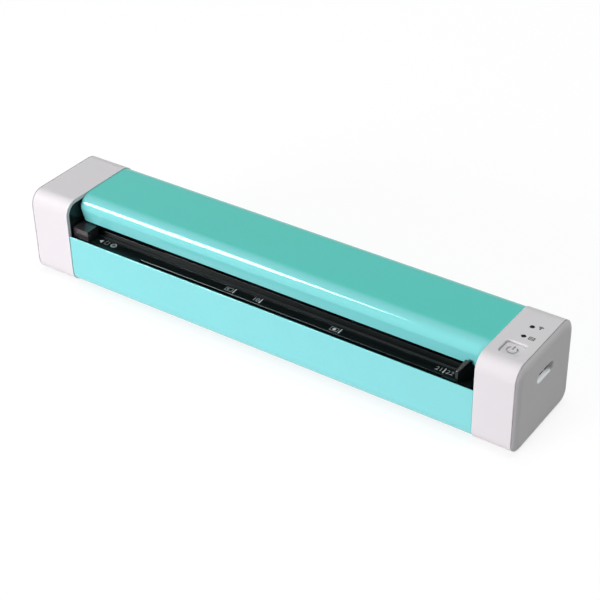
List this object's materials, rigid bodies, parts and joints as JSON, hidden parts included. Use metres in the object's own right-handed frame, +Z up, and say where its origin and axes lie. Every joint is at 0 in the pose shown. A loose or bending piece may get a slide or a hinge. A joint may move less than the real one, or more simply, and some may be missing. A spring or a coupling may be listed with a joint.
{
  "type": "portable sheetfed scanner",
  "caption": "Long slim sheetfed scanner: turquoise housing between white end caps, a slotted feed shelf with paper guides, a hinged cover over feed rollers, and a power button.",
  "frame": {"origin": "on the table, under the middle of the housing's length and depth", "axes": "+X along the housing towards the end with the power button, +Y to the rear where the paper comes out, +Z up"},
  "size_m": [0.2926, 0.0554, 0.0497],
  "materials": {
    "turquoise": "glossy moulded plastic",
    "white": "satin moulded plastic",
    "black": "satin moulded plastic",
    "rubber": "dull rubber",
    "grey": "plain moulded plastic",
    "steel": "plain steel",
    "gear": "natural plastic",
    "board": "coated circuit board",
    "battery": "film-wrapped cell",
    "glass": "clear flat glass",
    "backing": "plain white plastic",
    "lens": "dark glossy plastic"
  },
  "bodies": {
    "housing": {"battery": "battery", "chassis": "grey", "chassis_screw_1": "steel", "chassis_screw_2": "steel", "chassis_screw_3": "steel", "chassis_screw_4": "steel", "exit_guide": "black", "feed_tray": "black", "fixed_paper_guide": "black", "foot_1": "rubber", "foot_2": "rubber", "foot_3": "rubber", "foot_4": "rubber", "hinge_pin_left": "steel", "hinge_pin_right": "steel", "image_sensor_bar": "black", "left_end_cap": "white", "left_side_plate": "black", "light_pipe_1": "lens", "light_pipe_2": "lens", "lower_cover": "turquoise", "main_board": "board", "motor": "steel", "motor_bracket": "steel", "power_switch": "steel", "right_end_cap": "white", "right_side_plate": "black", "sensor_glass": "glass", "side_board": "board", "usb_socket": "steel"},
    "cover": {"top_cover": "turquoise", "upper_guide": "black", "backing_plate": "backing", "pinch_spring_left": "steel", "pinch_spring_right": "steel"},
    "front_pinch": {"front_pinch_shaft": "steel", "front_pinch_roller_1": "backing", "front_pinch_roller_2": "backing", "front_pinch_roller_3": "backing"},
    "rear_pinch": {"rear_pinch_shaft": "steel", "rear_pinch_roller_1": "backing", "rear_pinch_roller_2": "backing", "rear_pinch_roller_3": "backing"},
    "feed_drive": {"feed_shaft": "steel", "feed_roller_1": "rubber", "feed_roller_2": "rubber", "feed_roller_3": "rubber", "feed_gear": "gear"},
    "exit_drive": {"exit_shaft": "steel", "exit_roller_1": "rubber", "exit_roller_2": "rubber", "exit_roller_3": "rubber", "exit_gear": "gear"},
    "idler": {"idler_gear": "gear"},
    "compound": {"compound_gear": "gear"},
    "pinion": {"motor_pinion": "steel"},
    "paper_guide": {"sliding_paper_guide": "black"},
    "button": {"power_button": "white"},
    "lever": {"paper_sensor_lever": "black"}
  },
  "joints": [
    {"name": "cover_hinge", "type": "hinge", "parent": "housing", "child": "cover", "pos_m": [0.0018, 0.01855, 0.0406], "axis": [-1, 0, 0], "range_deg": [0, 40]},
    {"name": "feed_spin", "type": "hinge", "parent": "housing", "child": "feed_drive", "pos_m": [0, -0.00765, 0.0268], "axis": [-1, 0, 0], "continuous": true},
    {"name": "exit_spin", "type": "hinge", "parent": "housing", "child": "exit_drive", "pos_m": [0, 0.01535, 0.0268], "axis": [-1, 0, 0], "continuous": true},
    {"name": "idler_spin", "type": "hinge", "parent": "housing", "child": "idler", "pos_m": [-0.12495, 0.00385, 0.0268], "axis": [-1, 0, 0], "continuous": true},
    {"name": "compound_spin", "type": "hinge", "parent": "housing", "child": "compound", "pos_m": [-0.1265, -0.01408, 0.01727], "axis": [-1, 0, 0], "continuous": true},
    {"name": "pinion_spin", "type": "hinge", "parent": "housing", "child": "pinion", "pos_m": [-0.12805, -0.00312, 0.01631], "axis": [-1, 0, 0], "continuous": true},
    {"name": "front_pinch_spin", "type": "hinge", "parent": "cover", "child": "front_pinch", "pos_m": [0.0018, -0.00765, 0.0351], "axis": [-1, 0, 0], "continuous": true},
    {"name": "rear_pinch_spin", "type": "hinge", "parent": "cover", "child": "rear_pinch", "pos_m": [0.0018, 0.01535, 0.0351], "axis": [-1, 0, 0], "continuous": true},
    {"name": "paper_guide_slide", "type": "slide", "parent": "housing", "child": "paper_guide", "axis": [-1, 0, 0], "range_m": [0, 0.175]},
    {"name": "power_button_press", "type": "slide", "parent": "housing", "child": "button", "axis": [0, 0, -1], "range_m": [0, 0.0006], "stiffness_N_per_m": 1200, "springref_m": -0.0005},
    {"name": "sensor_lever_tilt", "type": "hinge", "parent": "housing", "child": "lever", "pos_m": [0.0328, -0.01235, 0.0248], "axis": [-1, 0, 0], "range_deg": [0, 30], "stiffness_Nm_per_rad": 0.001, "springref_deg": -17.19}
  ],
  "couplings": [
    {"joint": "exit_spin", "follows": "feed_spin", "ratio": 1},
    {"joint": "idler_spin", "follows": "feed_spin", "ratio": -1.875},
    {"joint": "compound_spin", "follows": "feed_spin", "ratio": -1.875},
    {"joint": "pinion_spin", "follows": "feed_spin", "ratio": 6.375},
    {"joint": "front_pinch_spin", "follows": "feed_spin", "ratio": -1.6667},
    {"joint": "rear_pinch_spin", "follows": "feed_spin", "ratio": -1.6667}
  ]
}
